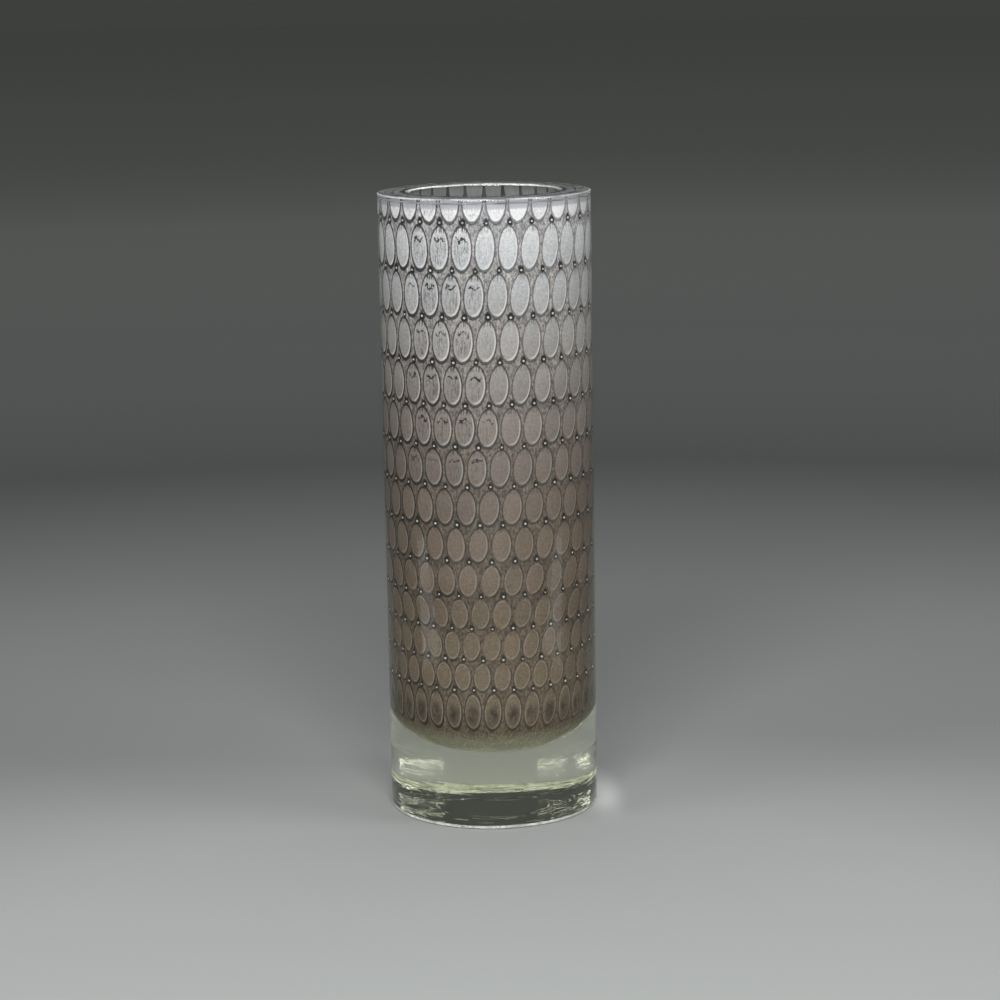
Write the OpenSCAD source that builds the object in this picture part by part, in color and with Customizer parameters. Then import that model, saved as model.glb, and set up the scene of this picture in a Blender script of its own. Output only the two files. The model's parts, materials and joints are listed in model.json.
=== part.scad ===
// Cased glass cylinder vase with trapped-air cells.
// Three gathers of glass lie one inside the other: a clear lining round the bore, a smoke-tinted
// layer with oval hollows blown into its outer face, and a thick clear casing with a solid base.
// The hollows stay closed by the casing, so each one is a flat pocket of air in the finished glass.
// Frame: millimetres, +Z up, origin at the centre of the resting face.

/* [Body] */
// Height from the resting face to the rim
body_h = 220; // [210:1:230]
// Outside diameter of the cylinder
body_d = 74.5; // [72:0.5:78]
// Bevel ground on the outer edges of the rim and of the resting face
outer_bevel = 0.8; // [0.4:0.1:1.4]

/* [Bore] */
// Diameter of the bore
bore_d = 52; // [50:0.5:52]
// Bevel ground on the inner edge of the rim
bore_bevel = 0.8; // [0.4:0.1:1.2]
// Radius of the corner between the bore's wall and its floor
bore_corner_r = 10.3; // [8:0.1:12]

/* [Layers] */
// Thickness of the clear lining
lining_t = 2.9; // [2.5:0.1:3]
// Thickness of the smoke-tinted layer
tint_t = 2.8; // [2.5:0.1:3]
// Thickness of clear glass under the tinted layer
base_t = 23; // [20:0.5:26]

/* [Taper] */
// First ring of cells on the slope where all three layers narrow towards the base
taper_first_ring = 9; // [9:1:10]
// Last ring of cells on that slope
taper_last_ring = 11; // [11:1:11]
// How far each layer's radius narrows
taper_in = 5.2; // [4:0.1:5.5]

/* [Pattern] */
// Number of air cells in each ring
cells_around = 26; // [24:1:28]
// Number of rings of air cells, with the ring that the rim cuts and the long ring at the bottom
cell_rings = 14; // [13:1:14]
// Height of the junction between the first two rings
first_junction_z = 211; // [208:0.5:213]
// Distance between the first two junctions
first_pitch = 16.3; // [16:0.1:16.5]
// How much shorter each ring is than the one above it
pitch_step = 0.485; // [0.45:0.005:0.55]
// Length of the bottom ring's cells
last_cell_h = 12.8; // [11:0.1:13.5]
// Share of its ring's height that a cell fills
cell_fill = 0.92; // [0.85:0.01:0.94]
// Share of the spacing round the ring that a cell fills
cell_width_fill = 0.84; // [0.75:0.01:0.86]
// Depth of an air cell at its middle
cell_depth = 0.7; // [0.4:0.1:0.9]
// Solid glass left between the topmost air cells and the rim
rim_seal = 3; // [2:0.5:4]

/* [Hidden] */
$fn = 96;
overrun = 1; // how far a cutting shape runs past the face that it opens
body_r = body_d / 2;
bore_r = bore_d / 2;
lining_r = bore_r + lining_t;
tint_r = lining_r + tint_t;
tint_corner_r = bore_corner_r + lining_t + tint_t;
lining_z = base_t + tint_t; // underside of the lining
floor_z = lining_z + lining_t; // floor of the bore
cell_step = 360 / cells_around;
outline_points = 12; // corners of a cell's oval

// Height of the junction under ring i, where ring 0 is the one that the rim cuts.
function junction_z(i) = first_junction_z - i * first_pitch + pitch_step * i * (i - 1) / 2;
function is_last(i) = i == cell_rings - 1;
function ring_top_z(i) = i == 0 ? first_junction_z + first_pitch + pitch_step : junction_z(i - 1);
function ring_bottom_z(i) = is_last(i) ? ring_top_z(i) - last_cell_h : junction_z(i);
function ring_mid_z(i) = (ring_top_z(i) + ring_bottom_z(i)) / 2;
function cell_half_h(i) = (ring_top_z(i) - ring_bottom_z(i)) / 2 * (is_last(i) ? 1 : cell_fill);
function cell_half_w(r) = r * sin(cell_step / 2) * cell_width_fill;
taper_top_z = ring_top_z(taper_first_ring);
taper_low_z = ring_bottom_z(taper_last_ring);
corner_top_z = base_t + tint_corner_r; // where the tinted layer's rounded foot begins
// Outer radius of the tinted layer at a height: straight, then tapered, then round the foot.
function wall_r(z) =
    z < corner_top_z
        ? tint_r - taper_in - tint_corner_r
            + sqrt(tint_corner_r * tint_corner_r - (corner_top_z - z) * (corner_top_z - z))
        : tint_r - taper_in * min(max((taper_top_z - z) / (taper_top_z - taper_low_z), 0), 1);
// Every second ring is turned by half a cell, so that the cells lie as bricks do.
function ring_turn(i) = i % 2 == 0 ? 0 : cell_step / 2;

// Half outline of a round-bottomed, tapered solid from height z up to the rim, for turning round the axis.
module cup_outline(r, z, corner_r, top_z) {
    foot_r = r - taper_in;
    polygon([
        [0, z + corner_r],
        [foot_r, z + corner_r],
        [foot_r, taper_low_z],
        [r, taper_top_z],
        [r, top_z],
        [0, top_z]
    ]);
    translate([0, z]) square([foot_r - corner_r, corner_r + overrun]);
    intersection() {
        translate([foot_r - corner_r, z + corner_r]) circle(corner_r);
        translate([0, z]) square([foot_r, corner_r + overrun]);
    }
}

module cup(r, z, corner_r, top_z) {
    rotate_extrude() cup_outline(r, z, corner_r, top_z);
}

// Solid cylinder with a bevel at both ends.
module beveled_body() {
    rotate_extrude() polygon([
        [0, 0],
        [body_r - outer_bevel, 0],
        [body_r, outer_bevel],
        [body_r, body_h - outer_bevel],
        [body_r - outer_bevel, body_h],
        [0, body_h]
    ]);
}

// Oval plate that cuts one flat pocket into a wall of radius r.
module cell_cutter(r, half_h) {
    half_w = cell_half_w(r);
    outline = [for (k = [0 : outline_points - 1])
        let (turn = (k + 0.5) * 360 / outline_points) [half_w * cos(turn), half_h * sin(turn)]];
    translate([-cell_depth, 0, 0])
        rotate([90, 0, 90])
            linear_extrude(cell_depth + overrun) polygon(outline);
}

// Each cell leans with the wall that it is cut into.
module ring_of_cells(i) {
    mid_r = wall_r(ring_mid_z(i));
    lean = atan2(wall_r(ring_top_z(i)) - wall_r(ring_bottom_z(i)), ring_top_z(i) - ring_bottom_z(i));
    for (k = [0 : cells_around - 1])
        rotate([0, 0, ring_turn(i) + k * cell_step])
            translate([mid_r, 0, ring_mid_z(i)])
                rotate([0, lean, 0])
                    cell_cutter(mid_r, cell_half_h(i));
}

// The topmost ring stops under the rim, so that its cells stay closed.
module top_ring() {
    intersection() {
        ring_of_cells(0);
        cylinder(r = 2 * body_r, h = body_h - rim_seal);
    }
}

// Outer gather: the wall and the solid base, which the vase rests on.
module clear_casing() {
    color([0.80, 0.86, 0.80, 0.35])
        difference() {
            beveled_body();
            cup(tint_r, base_t, tint_corner_r, body_h + overrun);
        }
}

// Middle gather, tinted, with the hollows that hold the trapped air.
module smoke_layer() {
    color([0.48, 0.43, 0.40, 0.9])
        difference() {
            cup(tint_r, base_t, tint_corner_r, body_h);
            cup(lining_r, lining_z, tint_corner_r - tint_t, body_h + overrun);
            top_ring();
            for (i = [1 : cell_rings - 1]) ring_of_cells(i);
        }
}

// Inner gather: the wall and the floor of the bore.
module clear_lining() {
    color([0.84, 0.86, 0.84, 0.5])
        difference() {
            cup(lining_r, lining_z, tint_corner_r - tint_t, body_h);
            cup(bore_r, floor_z, bore_corner_r, body_h + overrun);
            translate([0, 0, body_h - bore_bevel])
                cylinder(r1 = bore_r, r2 = bore_r + bore_bevel, h = bore_bevel);
        }
}

clear_casing();
smoke_layer();
clear_lining();
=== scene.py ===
# The looks of the cased glass cylinder vase: one clear glass body with the smoke-tinted net layer,
# its air cells and its air beads inside the glass. Lengths are in metres, in the frame of the CAD.
import json
import math
import random

import bmesh
import bpy
from mathutils import Matrix, Vector, noise


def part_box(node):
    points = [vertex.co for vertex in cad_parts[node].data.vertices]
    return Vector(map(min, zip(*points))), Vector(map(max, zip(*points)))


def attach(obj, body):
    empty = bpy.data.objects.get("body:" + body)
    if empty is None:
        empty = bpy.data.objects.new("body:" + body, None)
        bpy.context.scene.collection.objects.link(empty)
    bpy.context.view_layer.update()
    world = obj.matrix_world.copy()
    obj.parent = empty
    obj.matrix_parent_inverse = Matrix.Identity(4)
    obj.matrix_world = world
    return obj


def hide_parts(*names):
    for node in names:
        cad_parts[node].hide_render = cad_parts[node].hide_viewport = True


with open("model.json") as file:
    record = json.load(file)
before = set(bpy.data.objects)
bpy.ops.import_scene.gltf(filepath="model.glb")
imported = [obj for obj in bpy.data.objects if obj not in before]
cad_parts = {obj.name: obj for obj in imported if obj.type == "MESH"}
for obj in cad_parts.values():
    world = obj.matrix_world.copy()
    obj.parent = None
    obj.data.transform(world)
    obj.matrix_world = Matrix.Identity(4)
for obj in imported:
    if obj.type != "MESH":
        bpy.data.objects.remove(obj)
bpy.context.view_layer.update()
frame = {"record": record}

MM = 0.001

# ---------------------------------------------------------------- camera

CAMERA_DISTANCE = 0.945
CAMERA_HEIGHT = 0.299
CAMERA_PITCH = math.radians(11.31)  # below the horizon
CAMERA_PAN = math.radians(0.23)
CAMERA_ROLL = math.radians(-0.98)
CAMERA_LENS_MM = 97.6
CAMERA_SENSOR_MM = 36


def make_camera():
    """The camera stands on the -Y side and looks slightly down."""
    forward = Vector((
        math.sin(CAMERA_PAN) * math.cos(CAMERA_PITCH),
        math.cos(CAMERA_PAN) * math.cos(CAMERA_PITCH),
        -math.sin(CAMERA_PITCH),
    ))
    level_right = Vector((math.cos(CAMERA_PAN), -math.sin(CAMERA_PAN), 0))
    level_up = level_right.cross(forward)
    right = level_right * math.cos(CAMERA_ROLL) + level_up * math.sin(CAMERA_ROLL)
    up = level_up * math.cos(CAMERA_ROLL) - level_right * math.sin(CAMERA_ROLL)
    data = bpy.data.cameras.new("camera")
    data.lens = CAMERA_LENS_MM
    data.sensor_width = CAMERA_SENSOR_MM
    camera = bpy.data.objects.new("camera", data)
    turn = Matrix((right, up, -forward)).transposed().to_4x4()
    camera.matrix_world = Matrix.Translation((0, -CAMERA_DISTANCE, CAMERA_HEIGHT)) @ turn
    bpy.context.collection.objects.link(camera)
    bpy.context.scene.camera = camera


make_camera()

# ---------------------------------------------------------------- sizes, from the CAD

mouth = next(m for m in frame["record"]["mounts"] if m["name"] == "mouth")
casing_high = Vector(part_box("clear_casing")[1])
smoke_low = Vector(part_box("smoke_layer")[0])
smoke_high = Vector(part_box("smoke_layer")[1])
lining_low = Vector(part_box("clear_lining")[0])
lining_high = Vector(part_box("clear_lining")[1])

BODY_R = casing_high.x
BODY_H = casing_high.z
BORE_R = mouth["dims"]["r_mm"] * MM
LAYER_R = smoke_high.x
LAYER_INNER_R = lining_high.x
LAYER_Z = smoke_low.z
FLOOR_Z = lining_low.z + LAYER_INNER_R - BORE_R
EDGE_BEVEL = 0.8 * MM
BORE_CORNER_R = 10.3 * MM
LAYER_CORNER_R = BORE_CORNER_R + LAYER_R - BORE_R
TAPER_TOP_Z = 94 * MM
TAPER_LOW_Z = 60 * MM
TAPER_IN = 5.2 * MM

# The rings of cells follow the same rule as in the CAD: each is a little shorter than the one above,
# apart from the last.
CELLS_AROUND = 26
CELL_RINGS = 14
CELL_STEP = math.tau / CELLS_AROUND
FIRST_JUNCTION_Z = 211 * MM
FIRST_PITCH = 16.3 * MM
PITCH_STEP = 0.485 * MM
LAST_CELL_H = 14.2 * MM
CELL_FILL = 0.985
CELL_WIDTH_FILL = 0.90
LOW_CELL_WIDTH_FILL = 0.91  # where the layer has tapered


def junction_z(i):
    return FIRST_JUNCTION_Z - i * FIRST_PITCH + PITCH_STEP * i * (i - 1) / 2


def ring_top_z(i):
    return FIRST_JUNCTION_Z + FIRST_PITCH + PITCH_STEP if i == 0 else junction_z(i - 1)


def ring_bottom_z(i):
    return ring_top_z(i) - LAST_CELL_H if i == CELL_RINGS - 1 else junction_z(i)


def ring_turn(i):
    """Every second ring is turned by half a cell."""
    return 0 if i % 2 == 0 else CELL_STEP / 2


def taper(z):
    """How far in from its full radius each layer has narrowed at a height, in a smooth slope."""
    share = min(max((TAPER_TOP_Z - z) / (TAPER_TOP_Z - TAPER_LOW_Z), 0), 1)
    return TAPER_IN * share * share * (3 - 2 * share)


def cup_radius(z, full_r, low_z, corner_r):
    """Radius of a tapered cup with a rounded lower corner, at a height."""
    drop = low_z + corner_r - z
    if drop <= 0:
        return full_r - taper(z)
    return full_r - TAPER_IN - corner_r + math.sqrt(max(corner_r ** 2 - drop ** 2, 0))


def layer_radius(z):
    return cup_radius(z, LAYER_R, LAYER_Z, LAYER_CORNER_R)


# ---------------------------------------------------------------- materials


class Nodes:
    """Short calls for building a material's node tree."""

    def __init__(self, name):
        self.material = bpy.data.materials.new(name)
        self.material.use_nodes = True
        self.tree = self.material.node_tree
        self.shader = self.tree.nodes["Principled BSDF"]
        self.output = self.tree.nodes["Material Output"]

    def add(self, kind, **settings):
        node = self.tree.nodes.new(kind)
        for key, value in settings.items():
            setattr(node, key, value)
        return node

    def plug(self, value, socket):
        """Links a socket, or sets a number or colour."""
        if isinstance(value, bpy.types.NodeSocket):
            self.tree.links.new(value, socket)
        else:
            socket.default_value = value

    def math(self, operation, a, b=0.0, c=0.0):
        node = self.add("ShaderNodeMath", operation=operation)
        for socket, value in zip(node.inputs, (a, b, c)):
            self.plug(value, socket)
        return node.outputs[0]

    def smooth(self, value, start, end):
        """0 below start and 1 above end, or the other way round where start is the larger."""
        node = self.add("ShaderNodeMapRange", interpolation_type="SMOOTHSTEP")
        low, high = min(start, end), max(start, end)
        self.plug(value, node.inputs["Value"])
        node.inputs["From Min"].default_value = low
        node.inputs["From Max"].default_value = high
        node.inputs["To Min"].default_value = 0.0 if start < end else 1.0
        node.inputs["To Max"].default_value = 1.0 if start < end else 0.0
        return node.outputs["Result"]

    def mix(self, factor, a, b, blend="MIX"):
        node = self.add("ShaderNodeMix", data_type="RGBA", blend_type=blend)
        # For colours, this node's values go into sockets 6 and 7, and out of socket 2.
        self.plug(factor, node.inputs[0])
        self.plug(a, node.inputs[6])
        self.plug(b, node.inputs[7])
        return node.outputs[2]

    def ramp(self, factor, stops):
        node = self.add("ShaderNodeValToRGB")
        self.plug(factor, node.inputs[0])
        elements = node.color_ramp.elements
        elements[0].position, elements[0].color = stops[0]
        elements[1].position, elements[1].color = stops[-1]
        for place, colour in stops[1:-1]:
            elements.new(place).color = colour
        return node.outputs[0]

    def noise(self, vector, scale, detail=2.0, roughness=0.5):
        node = self.add("ShaderNodeTexNoise")
        self.plug(vector, node.inputs["Vector"])
        node.inputs["Scale"].default_value = scale
        node.inputs["Detail"].default_value = detail
        node.inputs["Roughness"].default_value = roughness
        return node.outputs["Fac"]

    def scaled(self, vector, scale):
        node = self.add("ShaderNodeMapping")
        self.plug(vector, node.inputs["Vector"])
        node.inputs["Scale"].default_value = scale
        return node.outputs["Vector"]

    def tinted(self, colour, shade):
        """A colour made darker or lighter by a number of about 1."""
        grey = self.add("ShaderNodeCombineColor")
        for socket in grey.inputs[:3]:
            self.plug(shade, socket)
        return self.mix(1.0, colour, grey.outputs[0], "MULTIPLY")

    def attribute(self, name):
        return self.add("ShaderNodeAttribute", attribute_name=name).outputs["Fac"]

    def bump(self, height, distance, strength=1.0):
        node = self.add("ShaderNodeBump")
        self.plug(height, node.inputs["Height"])
        node.inputs["Distance"].default_value = distance
        node.inputs["Strength"].default_value = strength
        self.plug(node.outputs["Normal"], self.shader.inputs["Normal"])


def srgb(red, green, blue):
    """A display colour of 0 to 255 as the linear colour that a shader takes."""
    def linear(value):
        value = value / 255
        return value / 12.92 if value <= 0.04045 else ((value + 0.055) / 1.055) ** 2.4
    return (linear(red), linear(green), linear(blue), 1.0)


def height_share(nodes):
    """Height in the body, from 0 at the resting face to 1 at the rim, and the object coordinates."""
    coordinates = nodes.add("ShaderNodeTexCoord").outputs["Object"]
    split = nodes.add("ShaderNodeSeparateXYZ")
    nodes.plug(coordinates, split.inputs[0])
    return nodes.math("DIVIDE", split.outputs["Z"], BODY_H), coordinates


def uv_and_length(nodes):
    """The position in the UV map, and its distance from the map's origin."""
    uv = nodes.add("ShaderNodeUVMap", uv_map="cell").outputs[0]
    radius = nodes.add("ShaderNodeVectorMath", operation="LENGTH")
    nodes.plug(uv, radius.inputs[0])
    return uv, radius.outputs["Value"]


def clear_glass():
    """Clear glass with a green-yellow body colour, and faint level ripples round the foot."""
    nodes = Nodes("clear_glass")
    share, coordinates = height_share(nodes)
    ripples = nodes.noise(nodes.scaled(coordinates, (0.8, 0.8, 20)), 26, 2, 0.5)
    ripples = nodes.math("MULTIPLY", ripples, nodes.smooth(share, 0.17, 0.13))
    nodes.bump(ripples, 0.14 * MM, 0.6)
    shader = nodes.shader
    shader.inputs["Base Color"].default_value = (1, 1, 1, 1)
    shader.inputs["Roughness"].default_value = 0.0
    shader.inputs["IOR"].default_value = 1.5
    shader.inputs["Transmission Weight"].default_value = 1.0
    volume = nodes.add("ShaderNodeVolumeAbsorption")
    volume.inputs["Color"].default_value = (0.72, 0.83, 0.23, 1)
    volume.inputs["Density"].default_value = 4.0
    nodes.tree.links.new(volume.outputs[0], nodes.output.inputs["Volume"])
    return nodes.material


def net_shade(nodes, share, coordinates):
    """Colour of the smoke glass between the cells: mauve grey at the rim, brown lower down. The lighter tone
    towards the rim is partly painted light, the vase lit more from above, and the pale foot of the layer is
    painted light on its downward-facing curve.
    """
    tint = nodes.ramp(share, [
        (0.104, srgb(240, 242, 222)),
        (0.120, srgb(190, 187, 162)),
        (0.149, srgb(112, 96, 76)),
        (0.310, srgb(106, 92, 76)),
        (0.470, srgb(106, 94, 80)),
        (0.620, srgb(128, 118, 110)),
        (0.780, srgb(164, 158, 156)),
        (0.910, srgb(188, 185, 186)),
        (0.980, srgb(190, 188, 196)),
    ])
    grain = nodes.noise(nodes.scaled(coordinates, (1, 1, 0.6)), 1300, 4, 0.65)
    grain = nodes.smooth(grain, 0.34, 0.66)
    # The grain thins out to a haze round the foot of the layer.
    grain = nodes.mix(nodes.smooth(share, 0.150, 0.122), grain, (0.62, 0.62, 0.62, 1))
    flow = nodes.noise(nodes.scaled(coordinates, (1, 1, 0.3)), 520, 2)
    flow = nodes.smooth(nodes.math("ABSOLUTE", nodes.math("SUBTRACT", flow, 0.5)), 0.035, 0.0)
    cloud = nodes.noise(coordinates, 170, 2)
    shade = nodes.math("MULTIPLY_ADD", grain, 0.85, 0.40)
    shade = nodes.math("ADD", shade, nodes.math("MULTIPLY", flow, 0.45))
    shade = nodes.math("MULTIPLY", shade, nodes.math("MULTIPLY_ADD", cloud, 0.7, 0.65))
    return nodes.tinted(tint, shade), grain


def net_glass():
    nodes = Nodes("smoke_net")
    share, coordinates = height_share(nodes)
    shaded, grain = net_shade(nodes, share, coordinates)
    nodes.plug(shaded, nodes.shader.inputs["Base Color"])
    nodes.shader.inputs["Roughness"].default_value = 0.35
    nodes.bump(grain, 0.06 * MM, 0.6)
    return nodes.material


def inner_shade(name, stops):
    """A grainy, dull surface whose colour changes with height."""
    nodes = Nodes(name)
    share, coordinates = height_share(nodes)
    grain = nodes.noise(nodes.scaled(coordinates, (1, 1, 0.3)), 800, 3, 0.6)
    shaded = nodes.tinted(nodes.ramp(share, stops), nodes.math("MULTIPLY_ADD", grain, 0.6, 0.7))
    nodes.plug(shaded, nodes.shader.inputs["Base Color"])
    nodes.shader.inputs["Roughness"].default_value = 0.35
    nodes.bump(grain, 0.05 * MM, 0.5)
    return nodes.material


class CellNodes(Nodes):
    """The skin of an air cell. Its UV map runs from the cell's middle, with length 1 at its outline."""

    def __init__(self):
        super().__init__("air_cell")
        self.share, self.coordinates = height_share(self)
        uv, self.out = uv_and_length(self)
        split = self.add("ShaderNodeSeparateXYZ")
        self.plug(uv, split.inputs[0])
        self.across, self.along = split.outputs["X"], split.outputs["Y"]
        self.wrinkled = self.attribute("wrinkled")
        self.seed = self.attribute("seed")
        # Low on the vase the outlines are broken and faint in places, apart from the bottom ring's.
        self.low = self.smooth(self.share, 0.52, 0.36)
        self.patchy = self.smooth(self.noise(self.coordinates, 240, 2), 0.40, 0.62)
        broken = self.math("MULTIPLY", self.low, self.math("MULTIPLY_ADD", self.patchy, -0.62, 0.62))
        broken = self.math("MULTIPLY", broken, self.smooth(self.share, 0.205, 0.235))
        self.edge = self.math("MULTIPLY", self.attribute("edge"), self.math("SUBTRACT", 1.0, broken))

    def body(self):
        """Near white under the rim and brown at the bottom: partly the tint behind the cells deepening, and
        partly painted light, the glow of light that enters at the rim and fades downwards.
        """
        body = self.ramp(self.share, [
            (0.150, srgb(98, 80, 62)),
            (0.190, srgb(116, 101, 82)),
            (0.310, srgb(118, 103, 86)),
            (0.460, srgb(122, 107, 94)),
            (0.545, srgb(130, 118, 109)),
            (0.680, srgb(154, 146, 141)),
            (0.780, srgb(184, 181, 181)),
            (0.900, srgb(220, 222, 227)),
            (0.972, srgb(252, 252, 255)),
        ])
        # The tone differs from cell to cell, and the mottling is stronger low down.
        mottle = self.smooth(self.noise(self.coordinates, 1300, 3, 0.6), 0.34, 0.66)
        tone = self.math("MULTIPLY_ADD", self.math("SINE", self.seed), 0.07, 0.85)
        depth = self.math("MULTIPLY_ADD", self.smooth(self.share, 0.6, 0.3), 0.20, 0.26)
        body = self.tinted(body, self.math("MULTIPLY_ADD", mottle, depth, tone))
        # The bottom ring's cells are darker in their middles.
        blotch = self.noise(self.scaled(self.coordinates, (1, 1, 0.5)), 700, 3, 0.6)
        blotch = self.smooth(blotch, 0.38, 0.58)
        core = self.math("MULTIPLY", self.smooth(self.out, 0.85, 0.30), self.smooth(self.along, 0.65, -0.15))
        core = self.math("MULTIPLY", core, self.smooth(self.share, 0.225, 0.20))
        core = self.math("MULTIPLY", core, self.math("MULTIPLY_ADD", blotch, 0.65, 0.30))
        return self.mix(core, body, srgb(44, 28, 20))

    def with_wrinkles(self, body):
        """Adds the dark marks of the cells that wrinkled as they cooled."""
        # Fine lines run down the cell.
        place = self.add("ShaderNodeCombineXYZ")
        self.plug(self.math("MULTIPLY", self.across, 9.0), place.inputs[0])
        self.plug(self.math("MULTIPLY", self.along, 1.1), place.inputs[1])
        self.plug(self.seed, place.inputs[2])
        lines = self.noise(place.outputs[0], 1.0, 2, 0.6)
        lines = self.smooth(self.math("ABSOLUTE", self.math("SUBTRACT", lines, 0.5)), 0.035, 0.008)
        lines = self.math("MULTIPLY", lines, self.smooth(self.out, 0.80, 0.62))
        lines = self.math("MULTIPLY", lines, self.smooth(self.along, 0.60, 0.45))
        lines = self.math("MULTIPLY", lines, self.math("MULTIPLY_ADD", self.wrinkled, 0.90, 0.04))
        lined = self.mix(lines, body, srgb(52, 46, 44))
        # A short crease crosses the upper third.
        wave = self.math("SINE", self.math("MULTIPLY_ADD", self.across, 8.0, self.seed))
        wander = self.math("MULTIPLY_ADD", self.noise(self.coordinates, 500, 1), 0.5, 0.13)
        crease_line = self.math("SUBTRACT", self.along, self.math("MULTIPLY_ADD", wave, 0.07, wander))
        crease = self.smooth(self.math("ABSOLUTE", crease_line), 0.065, 0.035)
        crease = self.math("MULTIPLY", crease, self.smooth(self.math("ABSOLUTE", self.across), 0.60, 0.48))
        crease = self.math("MULTIPLY", crease, self.smooth(self.wrinkled, 0.40, 0.6))
        breaks = self.smooth(self.noise(self.coordinates, 1500, 1), 0.36, 0.42)
        crease = self.math("MULTIPLY", crease, breaks)
        creased = self.mix(crease, lined, srgb(34, 28, 27))
        # Notches lie at the top of every cell, under its bead.
        notches = self.smooth(self.noise(place.outputs[0], 1.35, 0), 0.50, 0.56)
        notches = self.math("MULTIPLY", notches, self.smooth(self.along, 0.58, 0.80))
        notches = self.math("MULTIPLY", notches, self.math("MULTIPLY_ADD", self.wrinkled, 0.5, 0.45))
        return self.mix(notches, creased, srgb(46, 38, 36))

    def with_lip_highlight(self, colour, body):
        """Adds a painted highlight along the lip inside the outline: at the lower right, and all round low
        on the vase.
        """
        lip = self.math("MULTIPLY", self.smooth(self.out, 0.72, 0.80), self.smooth(self.out, 0.885, 0.85))
        low_right = self.math("SUBTRACT", self.math("MULTIPLY", self.across, 0.8),
                              self.math("MULTIPLY", self.along, 0.5))
        sides = self.math("MAXIMUM", self.smooth(low_right, 0.05, 0.7),
                          self.math("MULTIPLY", self.low, self.patchy))
        strength = self.math("MULTIPLY_ADD", self.low, -0.03, 0.20)
        strength = self.math("MULTIPLY_ADD", self.smooth(self.share, 0.5, 0.80), 0.75, strength)
        lip = self.math("MULTIPLY", self.math("MULTIPLY", lip, sides), strength)
        return self.mix(lip, colour, self.mix(0.70, body, srgb(255, 255, 255)))

    def with_shaded_outline(self, colour):
        """Adds a ragged dark outline of painted shade, heavier at the foot of the cell, that fades into the
        net as a soft painted shadow.
        """
        heavy = self.math("MULTIPLY", self.smooth(self.along, -0.1, -0.8), 0.02)
        heavy = self.math("ADD", heavy, self.math("MULTIPLY_ADD", self.edge, 0.045, -0.02))
        ragged = self.math("MULTIPLY_ADD", self.noise(self.coordinates, 900, 2), 0.09, -0.045)
        wider = self.math("ADD", heavy, ragged)
        outline = self.smooth(self.math("ADD", self.out, wider), 0.905, 0.930)
        outlined = self.mix(self.math("MULTIPLY", outline, self.edge), colour, srgb(12, 9, 8))
        around, _ = net_shade(self, self.share, self.coordinates)
        fade = self.smooth(self.math("SUBTRACT", self.out, wider), 1.03, 0.975)
        faded = self.mix(self.math("MULTIPLY", fade, self.edge), around, srgb(14, 10, 9))
        return self.mix(self.smooth(self.out, 0.965, 0.99), outlined, faded)


def cell_air():
    """The whole skin of an air cell: body, wrinkles, painted lip highlight, the strip under the rim, and the
    outline of painted shade.
    """
    nodes = CellNodes()
    body = nodes.body()
    lit = nodes.with_lip_highlight(nodes.with_wrinkles(body), body)
    # Close under the rim the cells turn lavender grey, in a narrow strip.
    rim_strip = nodes.math("MULTIPLY", nodes.smooth(nodes.share, 0.9800, 0.9840), 0.8)
    skin = nodes.with_shaded_outline(nodes.mix(rim_strip, lit, srgb(196, 196, 208)))
    nodes.plug(skin, nodes.shader.inputs["Base Color"])
    nodes.shader.inputs["Roughness"].default_value = 0.3
    return nodes.material


def bead_shadow():
    """The painted shadow round a bead, fading into the net. Its UV map has length 1 at the outline."""
    nodes = Nodes("bead_shadow")
    share, coordinates = height_share(nodes)
    around, grain = net_shade(nodes, share, coordinates)
    _, out = uv_and_length(nodes)
    ragged = nodes.math("MULTIPLY_ADD", grain, 0.25, out)
    dark = nodes.smooth(ragged, 1.12, 0.62)
    nodes.plug(nodes.mix(dark, around, srgb(8, 6, 5)), nodes.shader.inputs["Base Color"])
    nodes.shader.inputs["Roughness"].default_value = 0.35
    return nodes.material


# The white of the air beads and of half the rim bubbles is a painted highlight, whiter towards the rim.
def bead_air_highlight():
    nodes = Nodes("bead_air_highlight")
    share, coordinates = height_share(nodes)
    tint = nodes.ramp(share, [(0.2, srgb(236, 226, 204)), (0.9, srgb(255, 255, 255))])
    mottle = nodes.math("MULTIPLY_ADD", nodes.noise(coordinates, 3000, 1), 0.2, 0.88)
    nodes.plug(nodes.tinted(tint, mottle), nodes.shader.inputs["Base Color"])
    nodes.shader.inputs["Roughness"].default_value = 0.12
    return nodes.material


def ground_glass(name, dull, bright):
    """The pale, finely scratched look of a ground edge and of wear marks. On the ground bevels the pale
    colour is partly painted highlight, standing for the bright lines of light along the edges.
    """
    nodes = Nodes(name)
    coordinates = nodes.add("ShaderNodeTexCoord").outputs["Object"]
    scratches = nodes.noise(coordinates, 700, 3, 0.7)
    patches = nodes.noise(coordinates, 90, 2)
    shade = nodes.math("MULTIPLY", nodes.smooth(scratches, 0.25, 0.6), nodes.smooth(patches, 0.25, 0.55))
    nodes.plug(nodes.mix(shade, dull, bright), nodes.shader.inputs["Base Color"])
    nodes.shader.inputs["Roughness"].default_value = 0.4
    nodes.bump(scratches, 0.05 * MM, 0.7)
    return nodes.material


# ---------------------------------------------------------------- mesh helpers


def link(name, mesh, materials, sharp_degrees=None):
    """A new object with smooth faces, and with sharp edges where faces meet at a larger angle."""
    for material in materials:
        mesh.materials.append(material)
    for polygon in mesh.polygons:
        polygon.use_smooth = True
    if sharp_degrees is not None:
        mesh.set_sharp_from_angle(angle=math.radians(sharp_degrees))
    piece = bpy.data.objects.new(name, mesh)
    bpy.context.collection.objects.link(piece)
    return piece


def finished_mesh(name, build):
    mesh = bpy.data.meshes.new(name)
    build.to_mesh(mesh)
    build.free()
    return mesh


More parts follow.
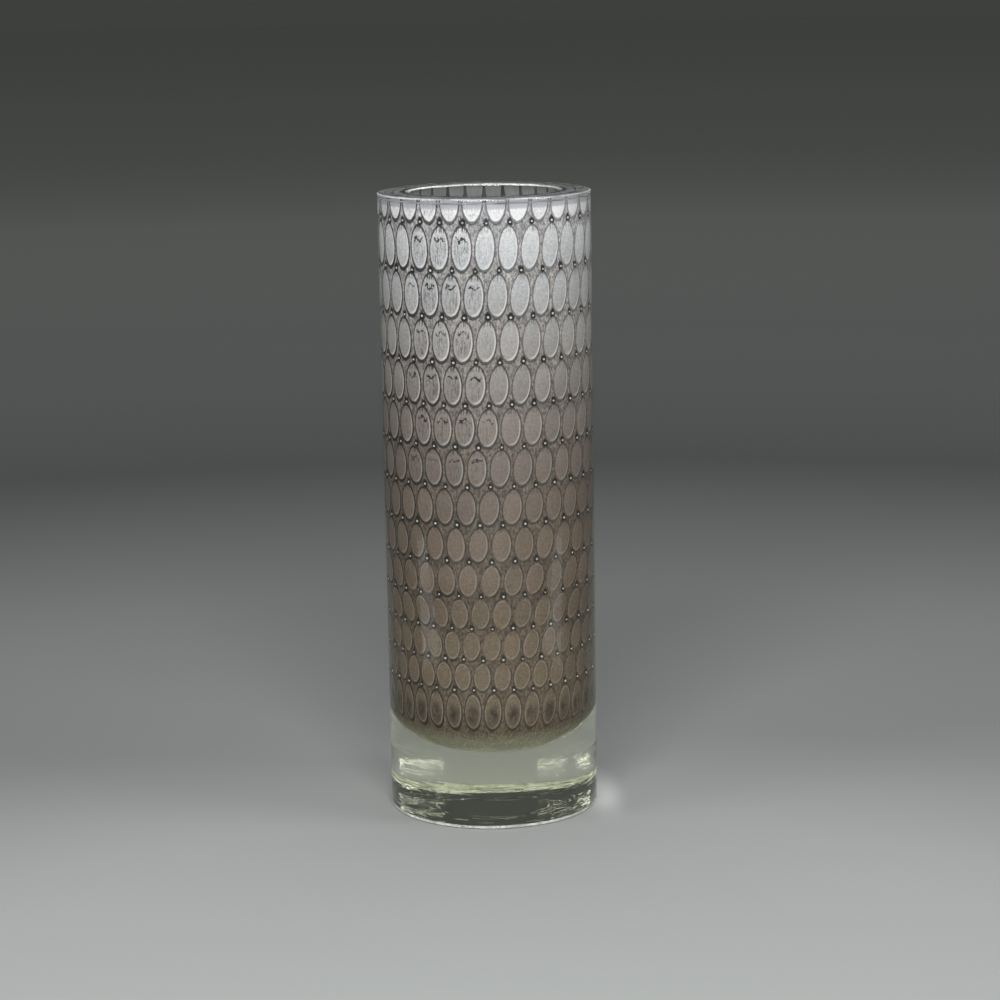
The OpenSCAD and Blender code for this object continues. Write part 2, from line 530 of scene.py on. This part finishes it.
def add_ball(build, radius, matrix, material_index):
    made = bmesh.ops.create_icosphere(build, subdivisions=2, radius=radius, matrix=matrix)
    for face in {face for vert in made["verts"] for face in vert.link_faces}:
        face.material_index = material_index


def arc(centre_r, centre_z, radius, start, end, steps):
    """Points of an arc in the half plane of radius and height, with angles in degrees."""
    points = []
    for k in range(steps + 1):
        angle = math.radians(start + (end - start) * k / steps)
        points.append((centre_r + radius * math.cos(angle), centre_z + radius * math.sin(angle)))
    return points


def rise(r, z_from, z_to, steps):
    """Points of a straight wall, without its two ends."""
    return [(r, z_from + (z_to - z_from) * k / steps) for k in range(1, steps)]


def no_shift(r, azimuth, z):
    return 0.0


def lathe(name, outline, segments, radial_shift=no_shift):
    """Turns an outline into a closed mesh. It ends on the axis or where it started."""
    build = bmesh.new()
    rows = []
    for r, z in outline:
        if r < 1e-7:
            rows.append([build.verts.new((0, 0, z))])
            continue
        row = []
        for k in range(segments):
            azimuth = math.tau * k / segments
            shifted = r + radial_shift(r, azimuth, z)
            row.append(build.verts.new((shifted * math.cos(azimuth), shifted * math.sin(azimuth), z)))
        rows.append(row)
    for low, high in zip(rows, rows[1:]):
        for k in range(segments):
            after = (k + 1) % segments
            corners = [low[k % len(low)], low[after % len(low)],
                       high[after % len(high)], high[k % len(high)]]
            build.faces.new(list(dict.fromkeys(corners)))
    bmesh.ops.recalc_face_normals(build, faces=build.faces)
    return finished_mesh(name, build)


# ---------------------------------------------------------------- glass body

BODY_SEGMENTS = 288
WALL_ROWS = 44
WAVE_DEPTH = 0.05 * MM
WAVE_TURNS = 1.6  # how often the wave changes on the way round
WAVE_RISE = 22  # and with the height, for each metre
WAVE_APART = 300  # keeps the bore's wave unlike the outside's
WAVE_FREE_SHARE = 0.6  # the floor of the bore has no wave within this share of its radius


def hand_wave(r, azimuth, z):
    """The slight waviness of hand-worked glass, only ever inwards on the outside wall."""
    if r < WAVE_FREE_SHARE * BORE_R:
        return 0.0
    place = Vector((
        math.cos(azimuth) * WAVE_TURNS,
        math.sin(azimuth) * WAVE_TURNS,
        z * WAVE_RISE + r * WAVE_APART,
    ))
    wave = noise.noise(place) * WAVE_DEPTH
    return wave - WAVE_DEPTH if r > LAYER_R else wave


def body_outline():
    """From the middle of the resting face, up the outside, over the rim and down the bore."""
    bevel = EDGE_BEVEL
    corner_z = FLOOR_Z + BORE_CORNER_R
    points = [(0, 0), (BODY_R * 0.4, 0), (BODY_R * 0.8, 0), (BODY_R - 1.6 * bevel, 0)]
    points += arc(BODY_R - bevel, bevel, bevel, -90, 0, 6)
    points += rise(BODY_R, bevel, BODY_H - bevel, WALL_ROWS)
    points += arc(BODY_R - bevel, BODY_H - bevel, bevel, 0, 90, 6)
    points += [(BODY_R - 2 * bevel, BODY_H), (BORE_R + 2 * bevel, BODY_H)]
    points += arc(BORE_R + bevel, BODY_H - bevel, bevel, 90, 180, 6)
    bore_wall = rise(BORE_R, BODY_H - bevel, corner_z, 3 * WALL_ROWS)
    points += [(r - taper(z), z) for r, z in bore_wall]
    corner_r = BORE_R - TAPER_IN - BORE_CORNER_R
    points += arc(corner_r, corner_z, BORE_CORNER_R, 0, -90, 14)
    points += [(corner_r * 0.5, FLOOR_Z), (0, FLOOR_Z)]
    return points


def make_glass_body(material):
    mesh = lathe("glass_body", body_outline(), BODY_SEGMENTS, hand_wave)
    piece = link("glass_body", mesh, [material])
    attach(piece, "root")
    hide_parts("clear_casing", "clear_lining")


# ---------------------------------------------------------------- smoke layer

NET_SINK = 0.35 * MM  # the net's face lies this far inside the layer's outer face
NET_TOP_GAP = 0.5 * MM  # clear glass left over the layer at the rim
NET_INNER_GAP = 0.2 * MM
NET_FLOOR_T = 2.4 * MM
NET_SEGMENTS = CELLS_AROUND * 8


def net_radius(z):
    return layer_radius(z) - NET_SINK


def net_inner_radius(z):
    low_z = LAYER_Z + NET_FLOOR_T
    return cup_radius(z, LAYER_INNER_R + NET_INNER_GAP, low_z, LAYER_CORNER_R - NET_FLOOR_T)


def make_net(material, inner_material):
    """The smoke cup: its outer face carries the cells, and its inner face backs the bore."""
    top = BODY_H - NET_TOP_GAP
    corner_z = LAYER_Z + LAYER_CORNER_R
    inner_floor = LAYER_Z + NET_FLOOR_T
    foot_r = LAYER_R - TAPER_IN
    inner_r = LAYER_INNER_R + NET_INNER_GAP
    inner_corner = LAYER_CORNER_R - NET_FLOOR_T
    outline = [(0, LAYER_Z)]
    outline += arc(foot_r - LAYER_CORNER_R, corner_z, LAYER_CORNER_R - NET_SINK, -90, 0, 16)
    outline += [(net_radius(z), z) for _, z in rise(0, corner_z, top, 90)]
    outline += [(LAYER_R - NET_SINK, top), (inner_r, top)]
    inner_start = len(outline)
    outline += [(net_inner_radius(z), z) for _, z in rise(0, top, inner_floor + inner_corner, 70)]
    outline += arc(inner_r - TAPER_IN - inner_corner, inner_floor + inner_corner, inner_corner, 0, -90, 12)
    outline += [(0, inner_floor)]
    mesh = lathe("smoke_net", outline, NET_SEGMENTS)
    outer_faces = NET_SEGMENTS * (inner_start - 1)
    piece = link("smoke_net", mesh, [material, inner_material], 50)
    for polygon in mesh.polygons:
        polygon.material_index = 1 if polygon.index >= outer_faces else 0
    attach(piece, "root")
    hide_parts("smoke_layer")


# Each cell is a stack of egg-shaped loops: share of the outline, and millimetres over the net's face.
# The last loop of each stack sinks into the net.
CELL_LOOPS = [
    (0.00, 0.30), (0.25, 0.29), (0.50, 0.26), (0.70, 0.20), (0.81, 0.12), (0.87, 0.13),
    (0.92, 0.09), (0.96, 0.04), (1.00, 0.03), (1.05, 0.03), (1.10, -0.05),
]
BACK_LOOPS = [(0.00, 0.12), (0.50, 0.11), (0.85, 0.07), (1.00, -0.05)]
CELL_POINTS = 32
BACK_POINTS = 20
EGG = 0.05  # how much narrower the top of a cell is than an ellipse
EGG_SPREAD = 0.04
WIDTH_SPREAD = 0.03
SHIFT_SPREAD = 0.012  # of half a cell's height
LEAN = 0.08  # how far the top of a cell leans to the right, as a share of half its width
SIDE_LEAN = 0.14  # and how much more so on the right of the vase
LEAN_SPREAD = 0.07
WRINKLED_FROM_FRONT = -26  # degrees
WRINKLED_SPREAD = 28  # degrees
WRINKLED_LEAST = 0.7  # how wrinkled the middle of those cells is, at the least
WRINKLED_CHANCE = 0.5  # and how much more so by chance
LAST_WRINKLED_RING = 5  # below this ring the wrinkles fade out
WRINKLES_FADE_RINGS = 3
# The strength of the outlines round the vase is painted shade, heavier on the left side.
OUTLINE_SHADE_RIGHT = 0.52  # strength of the outlines at the right side of the vase
OUTLINE_SHADE_LEFT_MORE = 0.43  # how much stronger they are at the left side
OUTLINE_SHADE_CHANCE = 0.05


def from_front(azimuth):
    """Degrees from the front of the vase, positive towards +X."""
    return math.degrees((azimuth + math.pi / 2 + math.pi) % math.tau - math.pi)


def wrinkle_share(azimuth, ring, chance):
    """Cells on the left of the front wrinkled most, and only in the upper rings."""
    side = math.exp(-((from_front(azimuth) - WRINKLED_FROM_FRONT) / WRINKLED_SPREAD) ** 4)
    upper = 1 - min(max((ring - LAST_WRINKLED_RING) / WRINKLES_FADE_RINGS, 0), 1)
    return side * upper * (WRINKLED_LEAST + WRINKLED_CHANCE * chance)


def outline_shade_share(azimuth, chance):
    """Outlines are heavier on the left half of the vase than on the right: painted shade, that side drawn
    darker.
    """
    left = 0.5 - 0.5 * math.sin(math.radians(from_front(azimuth)))
    return OUTLINE_SHADE_RIGHT + OUTLINE_SHADE_LEFT_MORE * left + OUTLINE_SHADE_CHANCE * chance


class CellMesh:
    """A mesh of oval cells in the making, with a UV map and one value of each attribute per cell."""

    def __init__(self, name):
        self.name = name
        self.build = bmesh.new()
        self.uv = self.build.loops.layers.uv.new("cell")
        layers = self.build.verts.layers.float
        self.attributes = [layers.new(kind) for kind in ("wrinkled", "edge", "seed")]

    def add_loops(self, loops, points, place, values, material_index):
        """Adds one cell. place turns a position in the cell's unit circle and a lift into a point."""
        rows = []
        for share, lift in loops:
            row = []
            for k in range(1 if share == 0 else points):
                angle = math.tau * k / points
                u, v = share * math.cos(angle), share * math.sin(angle)
                vert = self.build.verts.new(place(u, v, lift * MM))
                for layer, value in zip(self.attributes, values):
                    vert[layer] = value
                row.append((vert, (u, v)))
            rows.append(row)
        for inner, outer in zip(rows, rows[1:]):
            for k in range(points):
                after = (k + 1) % points
                corners = [inner[k % len(inner)], outer[k], outer[after], inner[after % len(inner)]]
                self.add_face(list(dict.fromkeys(corners)), material_index)

    def add_face(self, corners, material_index):
        """Adds a face, unless the cut under the rim has laid two of its corners on one point."""
        if len({tuple(vert.co) for vert, _ in corners}) < len(corners):
            return
        face = self.build.faces.new([vert for vert, _ in corners])
        face.material_index = material_index
        for loop, (_, uv) in zip(face.loops, corners):
            loop[self.uv].uv = uv

    def finish(self, materials):
        loose = [vert for vert in self.build.verts if not vert.link_faces]
        bmesh.ops.delete(self.build, geom=loose, context="VERTS")
        piece = link(self.name, finished_mesh(self.name, self.build), materials)
        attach(piece, "root")


def width_fill(z):
    """Share of the spacing round the ring that a cell fills, growing where the layer has tapered."""
    return CELL_WIDTH_FILL + (LOW_CELL_WIDTH_FILL - CELL_WIDTH_FILL) * taper(z) / TAPER_IN


def cell_place(azimuth, middle_z, half_h, dice):
    """The placing function of one hand-worked cell, for its outer skin and for its back."""
    half_angle = CELL_STEP / 2 * width_fill(middle_z) * dice.uniform(1 - WIDTH_SPREAD, 1 + WIDTH_SPREAD)
    lean = LEAN + SIDE_LEAN * math.sin(math.radians(from_front(azimuth)))
    lean = (lean + dice.uniform(-LEAN_SPREAD, LEAN_SPREAD)) * half_angle
    egg = EGG + dice.uniform(-EGG_SPREAD, EGG_SPREAD)
    shifted_z = middle_z + dice.uniform(-SHIFT_SPREAD, SHIFT_SPREAD) * half_h
    top_z = BODY_H - NET_TOP_GAP

    def place(u, v, lift, radius_at=net_radius):
        z = min(shifted_z + half_h * v, top_z)
        turn = azimuth + half_angle * u * (1 - egg * v) + lean * v
        r = radius_at(z) + lift
        return (r * math.cos(turn), r * math.sin(turn), z)

    return place


BACK_WIDER = 1.02  # the back of a cell against its outer skin
BACK_LOWER = 0.96
SEED_RANGE = 400  # wide enough for each cell to have marks of its own


def make_cell_ring(i, materials, dice):
    """One ring of air cells, each with its back towards the bore. The rim cuts the topmost ring."""
    cells = CellMesh(f"air_cells_{i:02d}")
    middle = (ring_top_z(i) + ring_bottom_z(i)) / 2
    fill = 1.0 if i == CELL_RINGS - 1 else CELL_FILL
    half_h = (ring_top_z(i) - ring_bottom_z(i)) / 2 * fill
    for k in range(CELLS_AROUND):
        azimuth = ring_turn(i) + k * CELL_STEP
        place = cell_place(azimuth, middle, half_h, dice)
        wrinkled = wrinkle_share(azimuth, i, dice.random())
        edge = outline_shade_share(azimuth, dice.random())
        values = (wrinkled, edge, dice.uniform(0, SEED_RANGE))

        def place_back(u, v, lift):
            return place(BACK_WIDER * u, BACK_LOWER * v, -lift, net_inner_radius)

        cells.add_loops(CELL_LOOPS, CELL_POINTS, place, values, 0)
        cells.add_loops(BACK_LOOPS, BACK_POINTS, place_back, values, 1)
    cells.finish(materials)


BEAD_R = 0.38 * MM
BEAD_LIFT = 0.7 * MM  # how far a bead sits above its junction
BEAD_SIDE = 0.5 * MM  # and to the right of the cell under it
SHADOW_LOOPS = [(0.00, 0.035), (0.35, 0.035), (0.70, 0.035), (1.00, -0.04)]
SHADOW_HALF_W = 1.4 * MM
SHADOW_HALF_H = 2.3 * MM
BEAD_SPREAD = 0.2 * MM
BEAD_SIZE_SPREAD = 0.15
BEAD_OUT = 0.2 * MM  # how far a bead's middle stands out of the net


def shadow_place(azimuth, z, size):
    """The placing function of a bead's oval shadow."""
    def place(u, v, lift):
        turn = azimuth + SHADOW_HALF_W * size * u / LAYER_R
        height = z + SHADOW_HALF_H * size * v
        r = net_radius(height) + lift
        return (r * math.cos(turn), r * math.sin(turn), height)
    return place


def make_bead_ring(i, materials, dice):
    """The round beads of air at the junctions under ring i, each in a small dark shadow."""
    beads = CellMesh(f"air_beads_{i:02d}")
    for k in range(CELLS_AROUND):
        z = junction_z(i) + BEAD_LIFT + dice.uniform(-BEAD_SPREAD, BEAD_SPREAD)
        side = BEAD_SIDE + dice.uniform(-BEAD_SPREAD, BEAD_SPREAD)
        azimuth = ring_turn(i + 1) + k * CELL_STEP + side / LAYER_R
        size = dice.uniform(1 - BEAD_SIZE_SPREAD, 1 + BEAD_SIZE_SPREAD)
        beads.add_loops(SHADOW_LOOPS, BACK_POINTS, shadow_place(azimuth, z, size), (0, 0, 0), 0)
        middle = Matrix.Translation((net_radius(z) + BEAD_OUT, 0, z))
        add_ball(beads.build, BEAD_R * size, Matrix.Rotation(azimuth, 4, "Z") @ middle, 1)
    beads.finish(materials)


# ---------------------------------------------------------------- ground edges, marks and bubbles

EDGE_DEPTH = 0.12 * MM  # how far a ground band lies under the polished surface
BAND_CORNER = 3.2  # how far from the edge a band turns from one face to the other, in EDGE_DEPTHs
BAND_BACK = 2.6  # and how deep the back of the band lies at its two ends


def ground_band(edge_r, edge_z, inwards, upwards, width, height):
    """Outline of a thin band that follows a rounded edge. Width and height are in EDGE_DEPTHs."""
    points = ((width, 1), (BAND_CORNER, 1), (1, BAND_CORNER),
              (1, height), (BAND_BACK, height), (width, BAND_BACK))
    return [(edge_r + inwards * across * EDGE_DEPTH, edge_z + upwards * along * EDGE_DEPTH)
            for across, along in points]


def make_ground_edges(dull, pale):
    """The ground bevels: both edges of the rim, and the edge of the resting face. Their pale bands are
    partly painted highlight, the bright lines of light along these edges.
    """
    bands = (
        ("rim_outer_edge", ground_band(BODY_R, BODY_H, -1, -1, 3.4, 3.4), dull),
        ("rim_inner_edge", ground_band(BORE_R, BODY_H, 1, -1, 11.0, 4.6), pale),
        ("foot_edge", ground_band(BODY_R, 0, -1, 1, 7.0, 9.5), pale),
    )
    for name, outline, material in bands:
        mesh = lathe(name, outline + outline[:1], BODY_SEGMENTS)
        piece = link(name, mesh, [material], 30)
        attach(piece, "root")


RIM_FACE_DROP = 1.7 * MM
RIM_FACE_T = 0.2 * MM
RIM_FACE_CROWN = 0.1 * MM
RIM_FACE_INNER_R = LAYER_R + 0.4 * MM
RIM_FACE_OUTER_R = BODY_R - 0.9 * MM


def make_rim_face(material):
    """A cloudy ring under the rim's flat face, where the gathers were sheared off together.

    Diffuse light passes through it, so that it doesn't darken the cells under it.
    """
    high = BODY_H - RIM_FACE_DROP
    low = high - RIM_FACE_T
    outline = [
        (RIM_FACE_INNER_R, low),
        (RIM_FACE_OUTER_R, low),
        (RIM_FACE_OUTER_R, high),
        ((RIM_FACE_INNER_R + RIM_FACE_OUTER_R) / 2, high + RIM_FACE_CROWN),
        (RIM_FACE_INNER_R, high),
    ]
    mesh = lathe("rim_face", outline + outline[:1], BODY_SEGMENTS)
    piece = link("rim_face", mesh, [material], 30)
    piece.visible_diffuse = False
    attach(piece, "root")


MARK_COUNT = 70
MARK_Z = 0.06 * MM
MARK_STEPS = 10
MARK_PLACES = (0.35, 0.93)  # shares of the body's radius
MARK_LENGTHS = (2, 11)  # millimetres, like the next two
MARK_HALF_WIDTHS = (0.08, 0.28)
MARK_DRIFT = 0.8  # how far a mark wanders towards or away from the axis


def make_resting_marks(material, dice):
    """Short wear scratches in the resting face, each a thin ribbon along a part of a circle."""
    build = bmesh.new()
    for _ in range(MARK_COUNT):
        r = dice.uniform(*MARK_PLACES) * BODY_R
        start = dice.uniform(0, math.tau)
        length = dice.uniform(*MARK_LENGTHS) * MM / r
        half_w = dice.uniform(*MARK_HALF_WIDTHS) * MM
        drift = dice.uniform(-MARK_DRIFT, MARK_DRIFT) * MM
        edges = []
        for k in range(MARK_STEPS + 1):
            share = k / MARK_STEPS
            turn = start + length * share
            spread = half_w * (0.25 + math.sin(math.pi * share)) * dice.uniform(0.5, 1.0)
            middle = r + drift * share
            edges.append([build.verts.new((radius * math.cos(turn), radius * math.sin(turn), MARK_Z))
                          for radius in (middle - spread, middle + spread)])
        for before, after in zip(edges, edges[1:]):
            build.faces.new([before[0], before[1], after[1], after[0]])
    piece = link("resting_marks", finished_mesh("resting_marks", build), [material])
    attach(piece, "root")


# Each cluster: degrees round from +X, radius in millimetres, and how many bubbles.
BUBBLE_CLUSTERS = (
    (-38, 28.2, 20),
    (8, 35.0, 40),
    (34, 34.8, 44),
    (60, 34.6, 30),
    (182, 35.2, 24),
    (205, 35.0, 20),
)
CLUSTER_SPREAD = 5  # degrees
BUBBLE_SHIFTS = (-0.7, 0.5)  # millimetres from the radius of the cluster
BUBBLE_SIZES = (0.22, 0.60)  # radii in millimetres
BUBBLE_FLATNESS = (0.18, 0.32)  # height as a share of the width
BUBBLE_DROP = 0.22 * MM  # how far the middles of the highest bubbles lie under the rim
BUBBLE_DEPTH = 0.20  # how many millimetres deeper the lowest lie


def make_rim_bubbles(materials, dice):
    """Clusters of tiny flattened bubbles close under the rim's flat, as they are left by the shears."""
    build = bmesh.new()
    for middle, radius, count in BUBBLE_CLUSTERS:
        for _ in range(count):
            turn = math.radians(middle + dice.gauss(0, CLUSTER_SPREAD))
            r = (radius + dice.uniform(*BUBBLE_SHIFTS)) * MM
            size = dice.uniform(*BUBBLE_SIZES) * MM
            z = BODY_H - BUBBLE_DROP - dice.uniform(0, BUBBLE_DEPTH) * MM
            place = Matrix.Translation((r * math.cos(turn), r * math.sin(turn), z))
            flattened = place @ Matrix.Diagonal((1, 1, dice.uniform(*BUBBLE_FLATNESS), 1))
            add_ball(build, size, flattened, dice.randrange(len(materials)))
    piece = link("rim_bubbles", finished_mesh("rim_bubbles", build), materials)
    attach(piece, "root")


def make_object():
    dice = random.Random(11)
    make_glass_body(clear_glass())
    inner_net = inner_shade("net_inside", [(0.12, srgb(52, 48, 42)), (0.98, srgb(74, 73, 76))])
    make_net(net_glass(), inner_net)
    cell_back = inner_shade("cell_back", [(0.12, srgb(84, 76, 68)), (0.98, srgb(142, 141, 144))])
    cell_materials = [cell_air(), cell_back]
    air_highlight_material = bead_air_highlight()
    bead_materials = [bead_shadow(), air_highlight_material]
    for i in range(CELL_RINGS):
        make_cell_ring(i, cell_materials, dice)
    for i in range(CELL_RINGS - 1):
        make_bead_ring(i, bead_materials, dice)
    # The bevel materials are partly painted highlight; the foot's one also colours the real wear marks.
    rim_ground_and_highlight = ground_glass("rim_ground_and_highlight", srgb(112, 113, 116), srgb(196, 197, 202))
    foot_ground_and_highlight = ground_glass("foot_ground_and_highlight", srgb(176, 178, 168), srgb(248, 249, 244))
    make_ground_edges(rim_ground_and_highlight, foot_ground_and_highlight)
    make_rim_face(ground_glass("rim_cloud", srgb(112, 116, 108), srgb(186, 186, 190)))
    make_resting_marks(foot_ground_and_highlight, dice)
    # Each rim bubble is painted either with a white highlight or in dark shade.
    bubble_shade = inner_shade("bubble_shade", [(0.1, srgb(20, 20, 20)), (0.98, srgb(34, 34, 36))])
    make_rim_bubbles([air_highlight_material, bubble_shade], dice)


make_object()

# ---------------------------------------------------------------- stage

FLOOR_R = 12.0
FLOOR_DROP = 0.15 * MM
FLOOR_SHADE_MIDDLE = (0, -0.3, 0)
FLOOR_SHADE_RADIUS = 10.0

# Each panel: name, place, what it points at, width, height and watts.
PANELS = (
    ("key", (-0.05, -0.95, 0.80), (0, 0, 0.10), 0.8, 0.4, 20),
    ("side_left", (-0.85, -0.40, 0.72), (0, 0, 0.12), 0.4, 0.4, 3.3),
    ("side_right", (0.85, -0.30, 0.72), (0, 0, 0.12), 0.4, 0.4, 4.6),
    ("top", (0.0, 0.30, 1.0), (0, 0.22, 0), 0.7, 0.5, 3),
    # Two small panels beside the camera make the bright reflections in the base.
    ("glint_left", (-0.325, -0.94, 0.295), (0, 0, 0.02), 0.12, 0.03, 0.27),
    ("glint_right", (0.355, -0.93, 0.295), (0, 0, 0.02), 0.12, 0.03, 0.13),
    # Two faint panels flat on the floor make soft upright bands on the lower wall.
    ("floor_panel", (-0.36, -0.11, 0.001), (-0.36, -0.11, 1), 0.26, 0.10, 0.07),
    ("floor_panel", (0.36, -0.11, 0.001), (0.36, -0.11, 1), 0.26, 0.10, 0.07),
)
# Each beam: name, place, what it points at, full angle in degrees and watts. The first fills the
# vase's own shadow, which is seen through the clear base. The second makes the bright patch that
# gathers on the floor beside the base.
BEAMS = (
    ("shadow_fill", (0, 0.45, 0.62), (0, 0.060, 0), 7.0, 19),
    ("floor_glow", (0.07, -0.80, 0.22), (0.0395, 0.002, 0), 0.68, 100),
)
BEAM_SOURCE_R = 4 * MM


def make_floor():
    """A pale disc just under the resting face, with soft bands round a place in front of the vase: painted
    light and shade, the floor darkening in bands away from that place and growing pale far off.
    """
    nodes = Nodes("floor")
    coordinates = nodes.add("ShaderNodeTexCoord").outputs["Object"]
    distance = nodes.add("ShaderNodeVectorMath", operation="DISTANCE")
    nodes.plug(coordinates, distance.inputs[0])
    distance.inputs[1].default_value = FLOOR_SHADE_MIDDLE
    shade = nodes.ramp(nodes.math("DIVIDE", distance.outputs["Value"], FLOOR_SHADE_RADIUS), [
        (0.0, srgb(138, 141, 139)),
        (0.026, srgb(136, 138, 137)),
        (0.040, srgb(114, 116, 115)),
        (0.061, srgb(112, 114, 113)),
        (0.080, srgb(98, 100, 99)),
        (0.097, srgb(82, 84, 83)),
        (0.120, srgb(106, 108, 107)),
        (0.160, srgb(144, 147, 146)),
        (0.250, srgb(218, 220, 219)),
        (0.530, srgb(249, 250, 250)),
    ])
    nodes.plug(shade, nodes.shader.inputs["Base Color"])
    nodes.shader.inputs["Roughness"].default_value = 0.85
    build = bmesh.new()
    bmesh.ops.create_circle(build, cap_ends=True, segments=96, radius=FLOOR_R,
                            matrix=Matrix.Translation((0, 0, -FLOOR_DROP)))
    link("floor", finished_mesh("floor", build), [nodes.material])


def stand_light(data, place, target):
    light = bpy.data.objects.new(data.name, data)
    light.location = place
    light.rotation_euler = (Vector(target) - Vector(place)).to_track_quat("-Z", "Y").to_euler()
    light.visible_camera = False
    bpy.context.collection.objects.link(light)
    return light


def make_panel(name, place, target, width, height, watts):
    data = bpy.data.lights.new(name, "AREA")
    data.shape = "RECTANGLE"
    data.size = width
    data.size_y = height
    data.energy = watts
    stand_light(data, place, target)


def make_beam(name, place, target, degrees, watts):
    """A narrow beam with a soft edge, which lights surfaces but isn't seen in the glass itself."""
    data = bpy.data.lights.new(name, "SPOT")
    data.energy = watts
    data.spot_size = math.radians(degrees)
    data.spot_blend = 1.0
    data.shadow_soft_size = BEAM_SOURCE_R
    light = stand_light(data, place, target)
    light.visible_glossy = False
    light.visible_transmission = False


def make_stage():
    make_floor()
    for panel in PANELS:
        make_panel(*panel)
    for beam in BEAMS:
        make_beam(*beam)
    world = bpy.data.worlds.new("studio")
    world.use_nodes = True
    world.node_tree.nodes["Background"].inputs["Color"].default_value = srgb(62, 64, 61)
    world.node_tree.nodes["Background"].inputs["Strength"].default_value = 1.0
    bpy.context.scene.world = world
    scene = bpy.context.scene
    scene.view_settings.view_transform = "Standard"
    scene.cycles.use_denoising = True
    scene.cycles.max_bounces = 24
    scene.cycles.transmission_bounces = 20
    scene.cycles.glossy_bounces = 12
    scene.cycles.blur_glossy = 0.5


make_stage()
